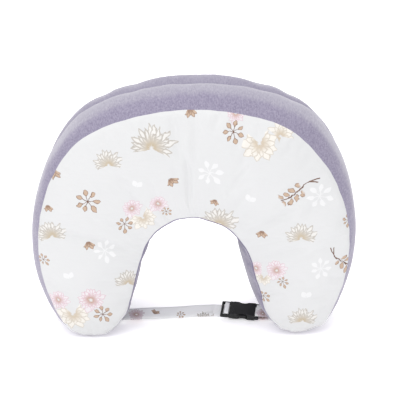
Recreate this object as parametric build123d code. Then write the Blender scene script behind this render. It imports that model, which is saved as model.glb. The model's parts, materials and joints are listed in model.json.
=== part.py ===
"""Nursing pillow: a U-shaped cushion in a zip-on cover, with a webbing strap and a side-release buckle.

Units are millimetres. The pillow stands on its two lobes with its arch open downwards: X runs to the
right, Y away from the printed front panel, Z up, and the origin is on the floor below the middle.
"""
from build123d import *
import math
import os

# ---------------------------------------------------------------- pillow
SEAM_GAP = 186.0            # between the two panels where they swell most
MIDDLE_Y = -3.3             # puts the middle of the overall depth, zip included, at the origin
GUSSET_SEAM_Y = 20.0        # the outer gusset is two strips, sewn together here
TOP_RADIUS = 377.0          # arc of the gusset over the top
TOP_HEIGHT = 405.0
ARC_CENTRE_X = -4.5         # puts the middle of the pillow's overall width at the origin
ARC_CENTRE_Z = TOP_HEIGHT - TOP_RADIUS
SHOULDER_SLOPE = 22.5       # degrees from the top of the arc to where each shoulder starts
# Corners of the outline as (x from the arc's centre, z, rounding radius), clockwise from the right
# shoulder round both lobes; the corner above the top arc is worked out from its radius.
RIGHT_SIDE = [(190, 357.3, 125), (268, 205, 230), (258, 75, 120), (215, 0, 50), (132, 0, 26)]
ARCH = [(75, 165, 120), (48, 203, 50), (-45, 203, 50), (-72, 165, 120)]
LEFT_SIDE = [(-133, 0, 26), (-213, 0, 50), (-252, 72, 120), (-259, 200, 230), (-190, 357.3, 115)]
# Where the inner gusset is joined to the outer one: a loop up the middle of both arms.
GUSSET_JOIN = [(-150, -50), (-150, 70), (-160, 170), (-95, 255), (0, 300), (95, 255), (165, 170),
               (155, 70), (155, -50)]

COVER = 0.9                 # velvet or printed cotton, with its backing
CASING = 0.5                # microfibre casing of the insert
EASE = 0.2                  # air between two layers

# ---------------------------------------------------------------- zip
ZIP_RADIUS = 345.0          # the zip crosses the back panel on an arc below its top edge
ZIP_END = 20.5              # degrees from the middle to each end of the tapes
ZIP_SPLIT = 1.2             # between the two coils
TAPE_WIDTH = 8.0
TAPE = 0.8
TAPE_LOW = 0.3              # the tapes lie this far off the panel, so the slider clears the insert
COIL_END = 19.7
COIL_WIDTH = 1.7
COIL = 1.5
STOP_START = 19.8
STOP_END = 20.4
SLIDER_LENGTH = 10.0
SLIDER_WIDTH = 8.0
SLIDER_PLATE = 1.0
SLIDER_REST = 18.6          # degrees right of the top: the closed end
SLIDER_AIR = 0.3
PIN_X = 2.5
PIN_RADIUS = 0.6
PULL_LENGTH = 22.0
PULL_WIDTH = 6.0
PULL = 1.2
PULL_DROOP = 4.5            # degrees that the pull leans in over the coils
BACK_FACE_Y = SEAM_GAP / 2 + COVER
TAPE_HIGH = TAPE_LOW + TAPE
COIL_TOP = TAPE_HIGH + COIL
PLATE_LOW = COIL_TOP + SLIDER_AIR
PLATE_HIGH = PLATE_LOW + SLIDER_PLATE
PIN_Z = PLATE_HIGH + 1.4

# ---------------------------------------------------------------- strap and buckle
STRAP_WIDTH = 27.0
STRAP = 1.4
STRAP_AIR = 0.4             # between two layers of webbing
BUCKLE_WIDTH = 33.0
BUCKLE_CENTRE = (75.3, -14.0, 11.3)
BUCKLE_YAW = -9.0
BUCKLE_PITCH = 2.0
BUCKLE_ROLL = 17.0
SIDE_RAIL = 2.6
RAIL_HALF = 2.75
BAR_HALF = 2.1
ADJUSTER_X = -32.0          # left end of the buckle, measured from its middle
OUTER_BAR = 3.5
MIDDLE_BAR = (-24.5, -20.5)
BASE = (-17.5, -12.0)
BASE_HALF = 4.6
TONGUE_END = 8.0
SOCKET = (-11.7, 25.0)
SOCKET_HALF = 5.5
CAVITY_END = 20.0
CAVITY_HALF_Y = 13.8
CAVITY_HALF_Z = 3.2
WINDOW = (-3.0, 13.0)       # side windows where the prongs show
THUMB_RADIUS = 14.0         # scoops in the plates beside the windows
THUMB_DEPTH = 4.0
END_BAR = (29.0, 32.0)
PRONG_HALF = 2.8
PRONG_ROOT = (-10.0, 8.0)
PRONG_ROOT_RADIUS = 1.6
PRONG_OUTLINE = [(-10.0, 6.4), (4.0, 8.6), (12.5, 8.2), (14.5, 9.6), (13.6, 12.0), (9.5, 14.9),
                 (5.0, 15.5), (-2.6, 14.8), (-2.6, 12.0), (-10.0, 9.6)]
LEFT_ANCHOR = (-153.7, -25.0, 10.5)            # inside the left lobe
RIGHT_ANCHOR = (156.3, -25.0, 10.0)            # inside the right lobe
ANCHOR_ROLL = 12.0
LOOP_START = -44.0          # where the strap leaves the buckle's own line
SHORT_LOOP_END = 40.0
TAIL_SHARE = 0.84           # how far the returned tail reaches back along the strap


# ---------------------------------------------------------------- pillow layers
def inset_corners(corners, inset):
    """The clockwise corners with every side moved in: outer corners tighten and inner ones open."""
    moved = []
    for index, (x, z, radius) in enumerate(corners):
        before = corners[index - 1]
        after = corners[(index + 1) % len(corners)]
        first = Vector(x - before[0], z - before[1]).normalized()
        second = Vector(after[0] - x, after[1] - z).normalized()
        turn = first.X * second.Y - first.Y * second.X        # below zero at an outer corner
        shared = inset / (1.0 + first.dot(second))
        new_x = x + shared * (first.Y + second.Y)
        new_z = z - shared * (first.X + second.X)
        moved.append((new_x, new_z, radius - math.copysign(inset, -turn)))
    return moved


def outline_face(y, inset):
    """Closed face of the pillow's outline at depth y, set in by the layers outside it."""
    rise = TOP_RADIUS / math.cos(math.radians(SHOULDER_SLOPE)) - TOP_RADIUS
    corners = [(0.0, TOP_HEIGHT + rise, TOP_RADIUS)] + RIGHT_SIDE + ARCH + LEFT_SIDE
    corners = inset_corners(corners, inset)
    points = [(ARC_CENTRE_X + x, z) for x, z, radius in corners]
    radii = [radius for x, z, radius in corners]
    face = make_face(FilletPolyline(*points, radius=radii, close=True))
    return Plane((0, y, 0), x_dir=(1, 0, 0), z_dir=(0, -1, 0)) * face


def gusset_block(inset, half_gap):
    """Everything between the two seam planes, inside one layer of the gusset."""
    return extrude(outline_face(half_gap, inset), 2 * half_gap)


def gusset_ring(inset, thickness, half_gap):
    return gusset_block(inset, half_gap) - gusset_block(inset + thickness, half_gap)


def front_panel(inset, thickness, half_gap):
    """One flat panel sewn over the front of the gusset."""
    return extrude(outline_face(-half_gap, inset), thickness)


def to_back(solid):
    """The back panels mirror the front ones."""
    return mirror(solid, Plane.XZ)


def arch_side():
    """Prism that holds the inner gusset and none of the outer one."""
    corners = [(ARC_CENTRE_X + x, z) for x, z in GUSSET_JOIN]
    outline = Plane.XZ * make_face(Polyline(*corners, close=True))
    return extrude(outline, SEAM_GAP, both=True)


# ---------------------------------------------------------------- zip
def zip_band(across, height, start, end):
    """Flat band along the zip: limits across it, limits off the back panel, and angles from the middle."""
    axis = Axis((ARC_CENTRE_X, 0, ARC_CENTRE_Z), (0, 1, 0))
    middle_z = ARC_CENTRE_Z + ZIP_RADIUS
    corners = [(ARC_CENTRE_X, BACK_FACE_Y + height[0], middle_z + across[0]),
               (ARC_CENTRE_X, BACK_FACE_Y + height[0], middle_z + across[1]),
               (ARC_CENTRE_X, BACK_FACE_Y + height[1], middle_z + across[1]),
               (ARC_CENTRE_X, BACK_FACE_Y + height[1], middle_z + across[0])]
    face = make_face(Polyline(*corners, close=True))
    return revolve(face.rotate(axis, start), axis, revolution_arc=end - start)


def zip_slot():
    half = ZIP_SPLIT / 2 + TAPE_WIDTH
    return zip_band((-half, half), (-5.0, 5.0), -ZIP_END, ZIP_END)


def zip_tape(side):
    across = sorted([side * ZIP_SPLIT / 2, side * (ZIP_SPLIT / 2 + TAPE_WIDTH)])
    return zip_band(across, (TAPE_LOW, TAPE_HIGH), -ZIP_END, ZIP_END)


def zip_coil(side):
    across = sorted([side * ZIP_SPLIT / 2, side * (ZIP_SPLIT / 2 + COIL_WIDTH)])
    return zip_band(across, (TAPE_HIGH, COIL_TOP), -COIL_END, COIL_END)


def zip_stop(side):
    half = ZIP_SPLIT / 2 + COIL_WIDTH
    angles = sorted([side * STOP_START, side * STOP_END])
    return zip_band((-half, half), (TAPE_HIGH, COIL_TOP), *angles)


def at_slider(solid):
    """From the slider's own frame (X along the zip, Z off the panel) to its place on the zip."""
    axis = Axis((ARC_CENTRE_X, 0, ARC_CENTRE_Z), (0, 1, 0))
    raised = Pos(ARC_CENTRE_X, BACK_FACE_Y, ARC_CENTRE_Z + ZIP_RADIUS) * Rot(-90, 0, 0) * solid
    return raised.rotate(axis, SLIDER_REST)


def block(x, y, z):
    """Box between pairs of limits."""
    size = Box(x[1] - x[0], y[1] - y[0], z[1] - z[0])
    return Pos((x[0] + x[1]) / 2, (y[0] + y[1]) / 2, (z[0] + z[1]) / 2) * size


def zip_slider():
    half_x = SLIDER_LENGTH / 2
    half_y = SLIDER_WIDTH / 2
    coil_side = ZIP_SPLIT / 2 + COIL_WIDTH + SLIDER_AIR
    top = block((-half_x, half_x), (-half_y, half_y), (PLATE_LOW, PLATE_HIGH))
    top = fillet(top.edges().filter_by(Axis.Z), 2.5)
    under_high = TAPE_LOW - SLIDER_AIR
    under = block((-half_x, half_x), (-half_y, half_y), (under_high - 0.8, under_high))
    under = fillet(under.edges().filter_by(Axis.Z), 2.5)
    body = top + under + block((-1.0, 1.0), (-0.3, 0.3), (under_high - 0.1, PLATE_LOW + 0.1))
    for side in (-1, 1):
        flange = sorted([side * coil_side, side * half_y])
        body += block((-2.5, 2.5), flange, (TAPE_HIGH + SLIDER_AIR, PLATE_LOW + 0.1))
        lug = sorted([side * 2.6, side * 3.6])
        body += block((PIN_X - 1.3, PIN_X + 1.3), lug, (PLATE_HIGH - 0.1, PIN_Z + 1.1))
    pin = Pos(PIN_X, 0, PIN_Z) * Rot(90, 0, 0) * Cylinder(PIN_RADIUS, 6.2)
    return body + pin


def zip_pull():
    eye = Rot(90, 0, 0) * Cylinder(1.25, 5.0)
    tab = block((0.4, PULL_LENGTH), (-PULL_WIDTH / 2, PULL_WIDTH / 2), (-PULL / 2, PULL / 2))
    tab = fillet(tab.edges().filter_by(Axis.Z).sort_by(Axis.X)[-2:], 2.6)
    neck = block((-2.0, 4.0), (-PULL_WIDTH, -2.5), (-2.0, 2.0))
    tab -= neck
    tab -= block((-2.0, 4.0), (2.5, PULL_WIDTH), (-2.0, 2.0))
    pull = eye + tab - Rot(90, 0, 0) * Cylinder(PIN_RADIUS + 0.06, 8.0)
    return Pos(PIN_X, 0, PIN_Z) * Rot(0, PULL_DROOP, 0) * pull


# ---------------------------------------------------------------- buckle
def buckle_place(x):
    turn = Rot(0, 0, BUCKLE_YAW) * Rot(0, BUCKLE_PITCH, 0) * Rot(BUCKLE_ROLL, 0, 0)
    return Pos(*BUCKLE_CENTRE) * turn * Pos(x, 0, 0)


def at_buckle(solid):
    """From the buckle's own frame (X along it, Y across the strap) to its place."""
    return buckle_place(0.0) * solid


def across_bar(x_low, x_high):
    bar = block((x_low, x_high), (-BUCKLE_WIDTH / 2, BUCKLE_WIDTH / 2), (-BAR_HALF, BAR_HALF))
    return fillet(bar.edges().filter_by(Axis.Y), 1.2)


def side_rails(x_low, x_high):
    rails = None
    for side in (-1, 1):
        y = sorted([side * (BUCKLE_WIDTH / 2 - SIDE_RAIL), side * BUCKLE_WIDTH / 2])
        rail = block((x_low, x_high), y, (-RAIL_HALF, RAIL_HALF))
        rails = rail if rails is None else rails + rail
    return rails


def buckle_adjuster():
    """Male half: the ladder for the strap, the block that meets the socket and the guide tongue."""
    half = BUCKLE_WIDTH / 2
    body = side_rails(ADJUSTER_X + 1.0, BASE[1] - 0.5)
    body += across_bar(ADJUSTER_X, ADJUSTER_X + OUTER_BAR)
    body += across_bar(*MIDDLE_BAR)
    base = block(BASE, (-half, half), (-BASE_HALF, BASE_HALF))
    base = fillet(base.edges().filter_by(Axis.X), 1.5)
    tongue = block((BASE[1] - 0.5, TONGUE_END), (-2.5, 2.5), (-2.2, 2.2))
    return body + base + tongue


def prong(side):
    """One sprung side arm of the male half."""
    corners = [(x, side * y) for x, y in PRONG_OUTLINE]
    arm = extrude(make_face(Polyline(*corners, close=True)), PRONG_HALF, both=True)
    root = Pos(PRONG_ROOT[0], side * PRONG_ROOT[1], 0) * Cylinder(PRONG_ROOT_RADIUS, 2 * PRONG_HALF)
    return arm + root


def buckle_socket():
    """Female half: a hollow body with two side windows, and a bar for the short strap."""
    half = BUCKLE_WIDTH / 2
    body = block(SOCKET, (-half, half), (-SOCKET_HALF, SOCKET_HALF))
    body = fillet(body.edges().filter_by(Axis.X), 2.2)
    for side in (-1, 1):
        scoop_y = side * (half + THUMB_RADIUS - THUMB_DEPTH)
        body -= Pos(sum(WINDOW) / 2, scoop_y, 0) * Cylinder(THUMB_RADIUS, 30)
    cavity_z = (-CAVITY_HALF_Z, CAVITY_HALF_Z)
    body -= block((SOCKET[0] - 1, CAVITY_END), (-CAVITY_HALF_Y, CAVITY_HALF_Y), cavity_z)
    body -= block(WINDOW, (-half - 5, half + 5), cavity_z)
    body += side_rails(SOCKET[1] - 0.5, END_BAR[1] - 1.0)
    return body + across_bar(*END_BAR)


# ---------------------------------------------------------------- straps
def rectangle_at(place, z_low, z_high):
    """Strap section across a place's X direction."""
    half = STRAP_WIDTH / 2
    corners = [(0, -half, z_low), (0, half, z_low), (0, half, z_high), (0, -half, z_high)]
    return place * make_face(Polyline(*corners, close=True))


def ribbon(start, start_z, end, end_z):
    """One straight layer of webbing between two places, each with the low side of its section."""
    first = rectangle_at(start, start_z, start_z + STRAP)
    second = rectangle_at(end, end_z, end_z + STRAP)
    return loft([first, second], ruled=True)


def anchor_place(anchor):
    return Pos(*anchor) * Rot(ANCHOR_ROLL, 0, 0)


def strap_long(pillow):
    """Main run, loop through the adjuster and returned tail: one length of webbing."""
    half = (-STRAP_WIDTH / 2, STRAP_WIDTH / 2)
    tail_low = -BAR_HALF - 0.7 - STRAP
    main_low = tail_low - STRAP_AIR - STRAP
    over_low = BAR_HALF + 0.4
    up = (-19.9, -19.9 + STRAP)
    down = (-26.5, -26.5 + STRAP)
    loop = block((LOOP_START, up[1]), half, (main_low, main_low + STRAP))
    loop += block(up, half, (main_low, over_low + STRAP))
    loop += block((down[0], up[1]), half, (over_low, over_low + STRAP))
    loop += block(down, half, (tail_low, over_low + STRAP))
    loop += block((LOOP_START, down[1]), half, (tail_low, tail_low + STRAP))
    start = buckle_place(LOOP_START)
    main = ribbon(start, main_low, anchor_place(LEFT_ANCHOR), -STRAP - STRAP_AIR / 2)
    begin = start.position
    tail_end = begin + (Vector(*LEFT_ANCHOR) - begin) * TAIL_SHARE
    tail = ribbon(start, tail_low, anchor_place(tuple(tail_end)), STRAP_AIR / 2)
    return at_buckle(loop) + main + tail - pillow


def strap_short(pillow):
    """Short webbing loop round the socket's end bar, with both ends in the right lobe's seam."""
    half = (-STRAP_WIDTH / 2, STRAP_WIDTH / 2)
    high = BAR_HALF + 0.5
    web = (26.3, 26.3 + STRAP)
    loop = block(web, half, (-high - STRAP, high + STRAP))
    loop += block((web[0], SHORT_LOOP_END), half, (high, high + STRAP))
    loop += block((web[0], SHORT_LOOP_END), half, (-high - STRAP, -high))
    start = buckle_place(SHORT_LOOP_END)
    end = anchor_place(RIGHT_ANCHOR)
    upper = ribbon(start, high, end, STRAP_AIR / 2)
    lower = ribbon(start, -high - STRAP, end, -STRAP - STRAP_AIR / 2)
    return at_buckle(loop) + upper + lower - pillow


def build():
    """Every node of the pillow, by name."""
    cover_half = SEAM_GAP / 2
    casing_in = COVER + EASE
    casing_half = cover_half - EASE - CASING
    fill_in = casing_in + CASING + EASE
    fill_half = casing_half - EASE
    arch = arch_side()
    pillow = gusset_block(0.0, cover_half)
    cover_ring = pillow - gusset_block(COVER, cover_half)
    casing_ring = gusset_ring(casing_in, CASING, casing_half)
    outer = cover_ring - arch
    front_room = block((-400, 400), (-200, GUSSET_SEAM_Y), (-50, 500))
    cover_panel = front_panel(0.0, COVER, cover_half)
    casing_panel = front_panel(casing_in, CASING, casing_half)
    fill = gusset_block(fill_in, fill_half)
    return {
        "cover_front_panel": cover_panel,
        "cover_back_panel": to_back(cover_panel) - zip_slot(),
        "outer_gusset_front_strip": outer & front_room,
        "outer_gusset_back_strip": outer - front_room,
        "inner_gusset": cover_ring & arch,
        "insert_front_panel": casing_panel,
        "insert_back_panel": to_back(casing_panel),
        "insert_outer_gusset": casing_ring - arch,
        "insert_inner_gusset": casing_ring & arch,
        "fibre_fill": fill,
        "zip_tape_lower": zip_tape(-1),
        "zip_tape_upper": zip_tape(1),
        "zip_coil_lower": zip_coil(-1),
        "zip_coil_upper": zip_coil(1),
        "zip_stop_closed_end": zip_stop(1),
        "zip_stop_open_end": zip_stop(-1),
        "zip_slider": at_slider(zip_slider()),
        "zip_pull": at_slider(zip_pull()),
        "strap_long": strap_long(pillow),
        "strap_short": strap_short(pillow),
        "buckle_adjuster": at_buckle(buckle_adjuster()),
        "buckle_prong_front": at_buckle(prong(-1)),
        "buckle_prong_rear": at_buckle(prong(1)),
        "buckle_socket": at_buckle(buckle_socket()),
    }


os.makedirs("parts", exist_ok=True)
for name, shape in build().items():
    solid = Pos(0, MIDDLE_Y, 0) * shape
    box = solid.bounding_box()
    print(f"{name:26s} solids {len(solid.solids())} volume {solid.volume:12.1f} mm3  "
          f"x {box.min.X:.1f}..{box.max.X:.1f}  y {box.min.Y:.1f}..{box.max.Y:.1f}  "
          f"z {box.min.Z:.1f}..{box.max.Z:.1f}")
    export_step(solid, f"parts/{name}.step")
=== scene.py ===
"""Looks of the nursing pillow: swollen cover, printed front panel, velvet, zip, strap and buckle."""
import json
import math

import bmesh
import bpy
from mathutils import Matrix, Vector, kdtree, noise


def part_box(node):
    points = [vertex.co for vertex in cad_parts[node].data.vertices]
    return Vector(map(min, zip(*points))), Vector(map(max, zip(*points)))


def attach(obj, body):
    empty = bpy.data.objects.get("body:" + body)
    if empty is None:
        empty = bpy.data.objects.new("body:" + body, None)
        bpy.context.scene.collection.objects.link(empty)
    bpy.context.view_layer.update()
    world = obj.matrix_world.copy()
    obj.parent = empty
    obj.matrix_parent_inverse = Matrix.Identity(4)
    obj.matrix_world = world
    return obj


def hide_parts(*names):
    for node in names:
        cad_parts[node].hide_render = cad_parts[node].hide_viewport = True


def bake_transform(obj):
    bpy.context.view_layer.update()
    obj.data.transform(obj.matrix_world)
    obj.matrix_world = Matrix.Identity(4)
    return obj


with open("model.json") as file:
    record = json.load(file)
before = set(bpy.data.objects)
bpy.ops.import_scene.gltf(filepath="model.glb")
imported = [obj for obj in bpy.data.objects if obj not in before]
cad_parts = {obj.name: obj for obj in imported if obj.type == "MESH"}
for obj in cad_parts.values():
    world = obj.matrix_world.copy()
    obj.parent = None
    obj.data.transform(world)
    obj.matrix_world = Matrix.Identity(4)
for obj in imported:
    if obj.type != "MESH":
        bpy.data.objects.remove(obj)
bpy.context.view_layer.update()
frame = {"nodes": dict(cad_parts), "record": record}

# ---------------------------------------------------------------- dimensions (metres)
JOINTS = {joint["name"]: joint for joint in frame["record"]["behaviour"]["joints"]}
ZIP_CENTRE = Vector(JOINTS["zip_travel"]["pos_m"])
ARC_X = ZIP_CENTRE.x
FRONT_Y = -0.0855
BACK_Y = 0.0795
TOP_RADIUS = 0.360
TOP_HEIGHT = 0.388
ARC_STEP = 7.5
FLOOR_GAP = 0.0004
TOP_BULGE = 0.016
RIGHT_BULGE = 0.0013        # more bulge for each step of the top arc towards the right shoulder
# Front seam as (x from the middle, z, swell of the gusset), both runs from the left lobe to the right.
OUTER_LEFT = [(-0.165, 0.004, 0.003), (-0.188, 0.009, 0.004), (-0.212, 0.030, 0.013), (-0.239, 0.100, 0.011),
              (-0.245, 0.180, 0.007), (-0.226, 0.266, 0.009), (-0.185, 0.331, 0.014)]
OUTER_RIGHT = [(0.180, 0.329, 0.026), (0.2255, 0.264, 0.018), (0.2485, 0.180, 0.012), (0.2435, 0.100, 0.013),
               (0.219, 0.029, 0.013), (0.194, 0.012, 0.005), (0.168, 0.005, 0.003)]
INNER = [(-0.165, 0.004, 0.006), (-0.140, 0.009, 0.006), (-0.121, 0.024, 0.006), (-0.107, 0.046, 0.005),
         (-0.099, 0.075, 0.005), (-0.084, 0.133, 0.005), (-0.065, 0.177, 0.005), (-0.036, 0.200, 0.005),
         (0.000, 0.2085, 0.005), (0.035, 0.199, 0.005), (0.063, 0.181, 0.005), (0.088, 0.145, 0.005),
         (0.100, 0.103, 0.006), (0.109, 0.073, 0.006), (0.117, 0.043, 0.006), (0.134, 0.020, 0.006),
         (0.151, 0.009, 0.006), (0.168, 0.005, 0.006)]
BACK_LEAN = 0.010           # sideways lean of the back seam at the top
ARCH_OPENING_LEFT = 0.016   # how much wider the arch is at the back, on its left side
ARCH_OPENING_RIGHT = 0.005  # the same on its right side
ARCH_HALF_WIDTH = 0.085     # from the middle to where the arch's back has its full opening
LOBE_TIP_HEIGHT = 0.06      # height over which that opening fades in
BULGE_SHARE = 0.85          # of the listed swell, before the simulation
RIDGE_SHARE = 0.6           # the same along the ridge seam, which also dips in
RIDGE_DIP = 0.003
CROWN = 0.010               # of the panels, before the simulation
FULL_CROWN_WIDTH = 0.08
TIP_COLUMNS = 3             # columns at the lobes' tips that the simulation leaves alone
SEAM_WOBBLE = 0.0012        # how far a sewn seam wanders
WOBBLE_RATE = 55.0
WOBBLE_PLACE = Vector((3.1, 7.7, 1.3))
COLUMNS = 190               # cells along the pillow, lobe to lobe
ROWS = 26                   # cells across an arm
DEPTH_CELLS = 30            # cells from the front seam to the back seam
RIDGE_ROW = 19              # the row where the two strips of the outer gusset are sewn together
ZIP_RADIUS = 0.345          # the zip's arc on the back panel
ZIP_HALF_WIDTH = 0.0105     # of both tapes together
ZIP_HALF_ANGLE = 21.5
TOOTH_PITCH = 0.0026
ZIP_FACE_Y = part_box("zip_tape_upper")[0][1] - 0.0004
CALM_ROUNDS = 5             # of smoothing for the swollen gusset
PUCKER_DEPTH = 0.0026
PUCKER_REACH = 0.020        # how far in from a seam the gathers fade
PUCKER_START = 0.004
PUCKER_RATE = 75.0
CREASE_RATE = 40.0
ARCH_SEAM = "arch_seam"     # attribute of the printed panel
ARCH_SEAM_HALF = 0.19       # a box round the arch: its half width and its top
ARCH_SEAM_TOP = 0.235
LOBE_LIFT = 0.020           # height under which the inner layers are lifted off the cover
CLOTH_FRAMES = 20
CLOTH_LIMIT = 0.016         # how far the simulation may move a point
FRONT_PANEL, BACK_PANEL, FRONT_STRIP, BACK_STRIP, INNER_GUSSET = range(5)
FINE = 8000                 # steps in the curve that inner points are picked from
CROWDING = 0.8              # how much closer inner points are near the lobes than round the arch


# ---------------------------------------------------------------- curves
def catmull(points, share):
    """Point at a share of a smooth curve through the points, by their count."""
    spans = len(points) - 1
    place = min(max(share, 0.0), 1.0) * spans
    index = min(int(place), spans - 1)
    t = place - index
    p1, p2 = points[index], points[index + 1]
    p0 = points[index - 1] if index > 0 else p1 * 2 - p2
    p3 = points[index + 2] if index + 2 <= spans else p2 * 2 - p1
    return 0.5 * (2 * p1 + (p2 - p0) * t + (2 * p0 - 5 * p1 + 4 * p2 - p3) * t * t
                  + (3 * p1 - p0 - 3 * p2 + p3) * t * t * t)


def even_curve(points, count):
    """Points at even lengths along the smooth curve."""
    fine = [catmull(points, i / FINE) for i in range(FINE + 1)]
    lengths = [0.0]
    for a, b in zip(fine, fine[1:]):
        lengths.append(lengths[-1] + (b.xy - a.xy).length)
    result = []
    index = 0
    for step in range(count + 1):
        target = step / count * lengths[-1]
        while index < FINE - 1 and lengths[index + 1] < target:
            index += 1
        span = lengths[index + 1] - lengths[index]
        t = 0.0 if span == 0 else (target - lengths[index]) / span
        result.append(fine[index].lerp(fine[index + 1], min(t, 1.0)))
    return result


def outer_points():
    """Points of the outer seam: left side, the top's arc and right side."""
    arc = []
    for step in range(-3, 4):
        turn = math.radians(step * ARC_STEP)
        arc.append((TOP_RADIUS * math.sin(turn), TOP_HEIGHT - TOP_RADIUS * (1 - math.cos(turn)),
                    TOP_BULGE + RIGHT_BULGE * max(step, 0)))
    return [Vector(p) for p in OUTER_LEFT + arc + OUTER_RIGHT]


def loop_normals(loop):
    """Outward directions of a closed clockwise loop of (x, z, swell) points."""
    result = []
    for i, point in enumerate(loop):
        along = loop[(i + 1) % len(loop)].xy - loop[i - 1].xy
        along.normalize()
        result.append(Vector((-along.y, along.x)))
    return result


# ---------------------------------------------------------------- pillow mesh
def lean(y, z):
    """Sideways lean of a point: the back leans one way at the top and the other way at the floor."""
    return (y - FRONT_Y) / (BACK_Y - FRONT_Y) * BACK_LEAN * (2 * z / TOP_HEIGHT - 1)


def swell_share(depth):
    """How much of its bulge the gusset has at a share of its depth."""
    return (1 - (2 * depth - 1) ** 2) ** 0.6


def arch_share(point):
    """1 along the arch's upright sides, 0 at its top and at the lobes' tips."""
    top = math.sin(min(abs(point.x) / ARCH_HALF_WIDTH, 1.0) * math.pi / 2) ** 2
    tip = min(max(point.y / LOBE_TIP_HEIGHT, 0.0), 1.0)
    return top * tip


def on_zip(place):
    """Whether a point of the back panel is under the zip's tapes, which hold it flat."""
    x = place.x - ZIP_CENTRE.x
    z = place.z - ZIP_CENTRE.z
    off_arc = abs(math.hypot(x, z) - ZIP_RADIUS)
    angle = abs(math.degrees(math.atan2(x, z)))
    return z > 0 and off_arc < ZIP_HALF_WIDTH and angle < ZIP_HALF_ANGLE


def seam_loop():
    """Closed clockwise loop of (x, z, swell): along the outer seam, then back along the inner one."""
    outer = even_curve(outer_points(), COLUMNS)
    fine_inner = even_curve([Vector(p) for p in INNER], FINE)
    inner = []
    for step in range(COLUMNS + 1):
        share = step / COLUMNS
        half = 1 - abs(2 * share - 1)
        crowded = half * (1 + CROWDING * (1 - half)) / 2
        inner.append(fine_inner[round((crowded if share < 0.5 else 1 - crowded) * FINE)])
    return outer + inner[-2:0:-1]


def gusset_out(point, row, on_outer):
    """How far the gusset stands out from the seams' outline at a row of its depth."""
    if row in (0, DEPTH_CELLS):
        place = Vector((point.x * WOBBLE_RATE, point.y * WOBBLE_RATE, 0)) + WOBBLE_PLACE
        return noise.noise(place) * SEAM_WOBBLE
    full = point.z * swell_share(row / DEPTH_CELLS)
    if row == RIDGE_ROW and on_outer:
        return full * RIDGE_SHARE - RIDGE_DIP
    return full * BULGE_SHARE


def add_gusset(mesh, pinned):
    """Rings of points from the front seam to the back seam, with faces between; gives those two rings."""
    loop = seam_loop()
    normals = loop_normals(loop)
    rings = []
    for row in range(DEPTH_CELLS + 1):
        depth = row / DEPTH_CELLS
        y = FRONT_Y + (BACK_Y - FRONT_Y) * depth
        ring = []
        for index, (point, normal) in enumerate(zip(loop, normals)):
            on_outer = 0 < index < COLUMNS
            out = gusset_out(point, row, on_outer)
            opening = 0.0
            if index > COLUMNS:
                widest = ARCH_OPENING_LEFT if point.x < 0 else ARCH_OPENING_RIGHT
                opening = widest * depth * arch_share(point)
            x = point.x + normal.x * out + math.copysign(opening, point.x)
            z = max(point.y + normal.y * out, FLOOR_GAP)
            made = mesh.verts.new((ARC_X + x + lean(y, z), y, z))
            ring.append(made)
            if row in (0, DEPTH_CELLS) or (row == RIDGE_ROW and on_outer):
                pinned.add(made)
        rings.append(ring)
    for row, (near, far) in enumerate(zip(rings, rings[1:])):
        for index in range(len(loop)):
            after = (index + 1) % len(loop)
            face = mesh.faces.new((near[index], near[after], far[after], far[index]))
            if index < COLUMNS:
                face.material_index = FRONT_STRIP if row < RIDGE_ROW else BACK_STRIP
            else:
                face.material_index = INNER_GUSSET
    return rings[0], rings[-1]


def add_panel(mesh, pinned, ring, kind):
    """Crowned panel inside a seam ring, in columns that run from the outer seam to the inner one."""
    flat_y, outward = (FRONT_Y, -1) if kind == FRONT_PANEL else (BACK_Y, 1)
    grid = []
    for column in range(COLUMNS + 1):
        top = ring[column]
        bottom = ring[-column]
        line = [top]
        if top is not bottom:
            height = CROWN * min(1.0, (top.co - bottom.co).length / FULL_CROWN_WIDTH)
            for row in range(1, ROWS):
                share = row / ROWS
                place = top.co.lerp(bottom.co, share)
                crown = height * (4 * share * (1 - share)) ** 0.5
                made = mesh.verts.new((place.x, flat_y + outward * crown, place.z))
                if kind == BACK_PANEL and on_zip(made.co):
                    made.co.y = ZIP_FACE_Y
                    pinned.add(made)
                if not TIP_COLUMNS <= column <= COLUMNS - TIP_COLUMNS:
                    pinned.add(made)
                line.append(made)
            line.append(bottom)
        grid.append(line)
    for first, second in zip(grid, grid[1:]):
        for row in range(ROWS):
            corners = []
            for line, step in ((first, row), (first, row + 1), (second, row + 1), (second, row)):
                corner = line[min(step, len(line) - 1)]
                if corner not in corners:
                    corners.append(corner)
            if len(corners) < 3:
                continue
            if kind == BACK_PANEL:
                corners.reverse()
            mesh.faces.new(corners).material_index = kind


def object_from(mesh, name):
    """Object made of a finished bmesh, which is freed."""
    data = bpy.data.meshes.new(name)
    mesh.to_mesh(data)
    mesh.free()
    made = bpy.data.objects.new(name, data)
    bpy.context.scene.collection.objects.link(made)
    return made


def build_pillow():
    """Closed mesh of front panel, back panel and gusset; each face knows its piece by material index."""
    mesh = bmesh.new()
    pinned = set()
    front_ring, back_ring = add_gusset(mesh, pinned)
    add_panel(mesh, pinned, front_ring, FRONT_PANEL)
    add_panel(mesh, pinned, back_ring, BACK_PANEL)
    bmesh.ops.recalc_face_normals(mesh, faces=mesh.faces)
    mesh.verts.index_update()
    seam_indices = sorted(vertex.index for vertex in pinned)
    pillow = object_from(mesh, "pillow_cloth")
    pillow.vertex_groups.new(name="seams").add(seam_indices, 1.0, "REPLACE")
    return pillow


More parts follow.
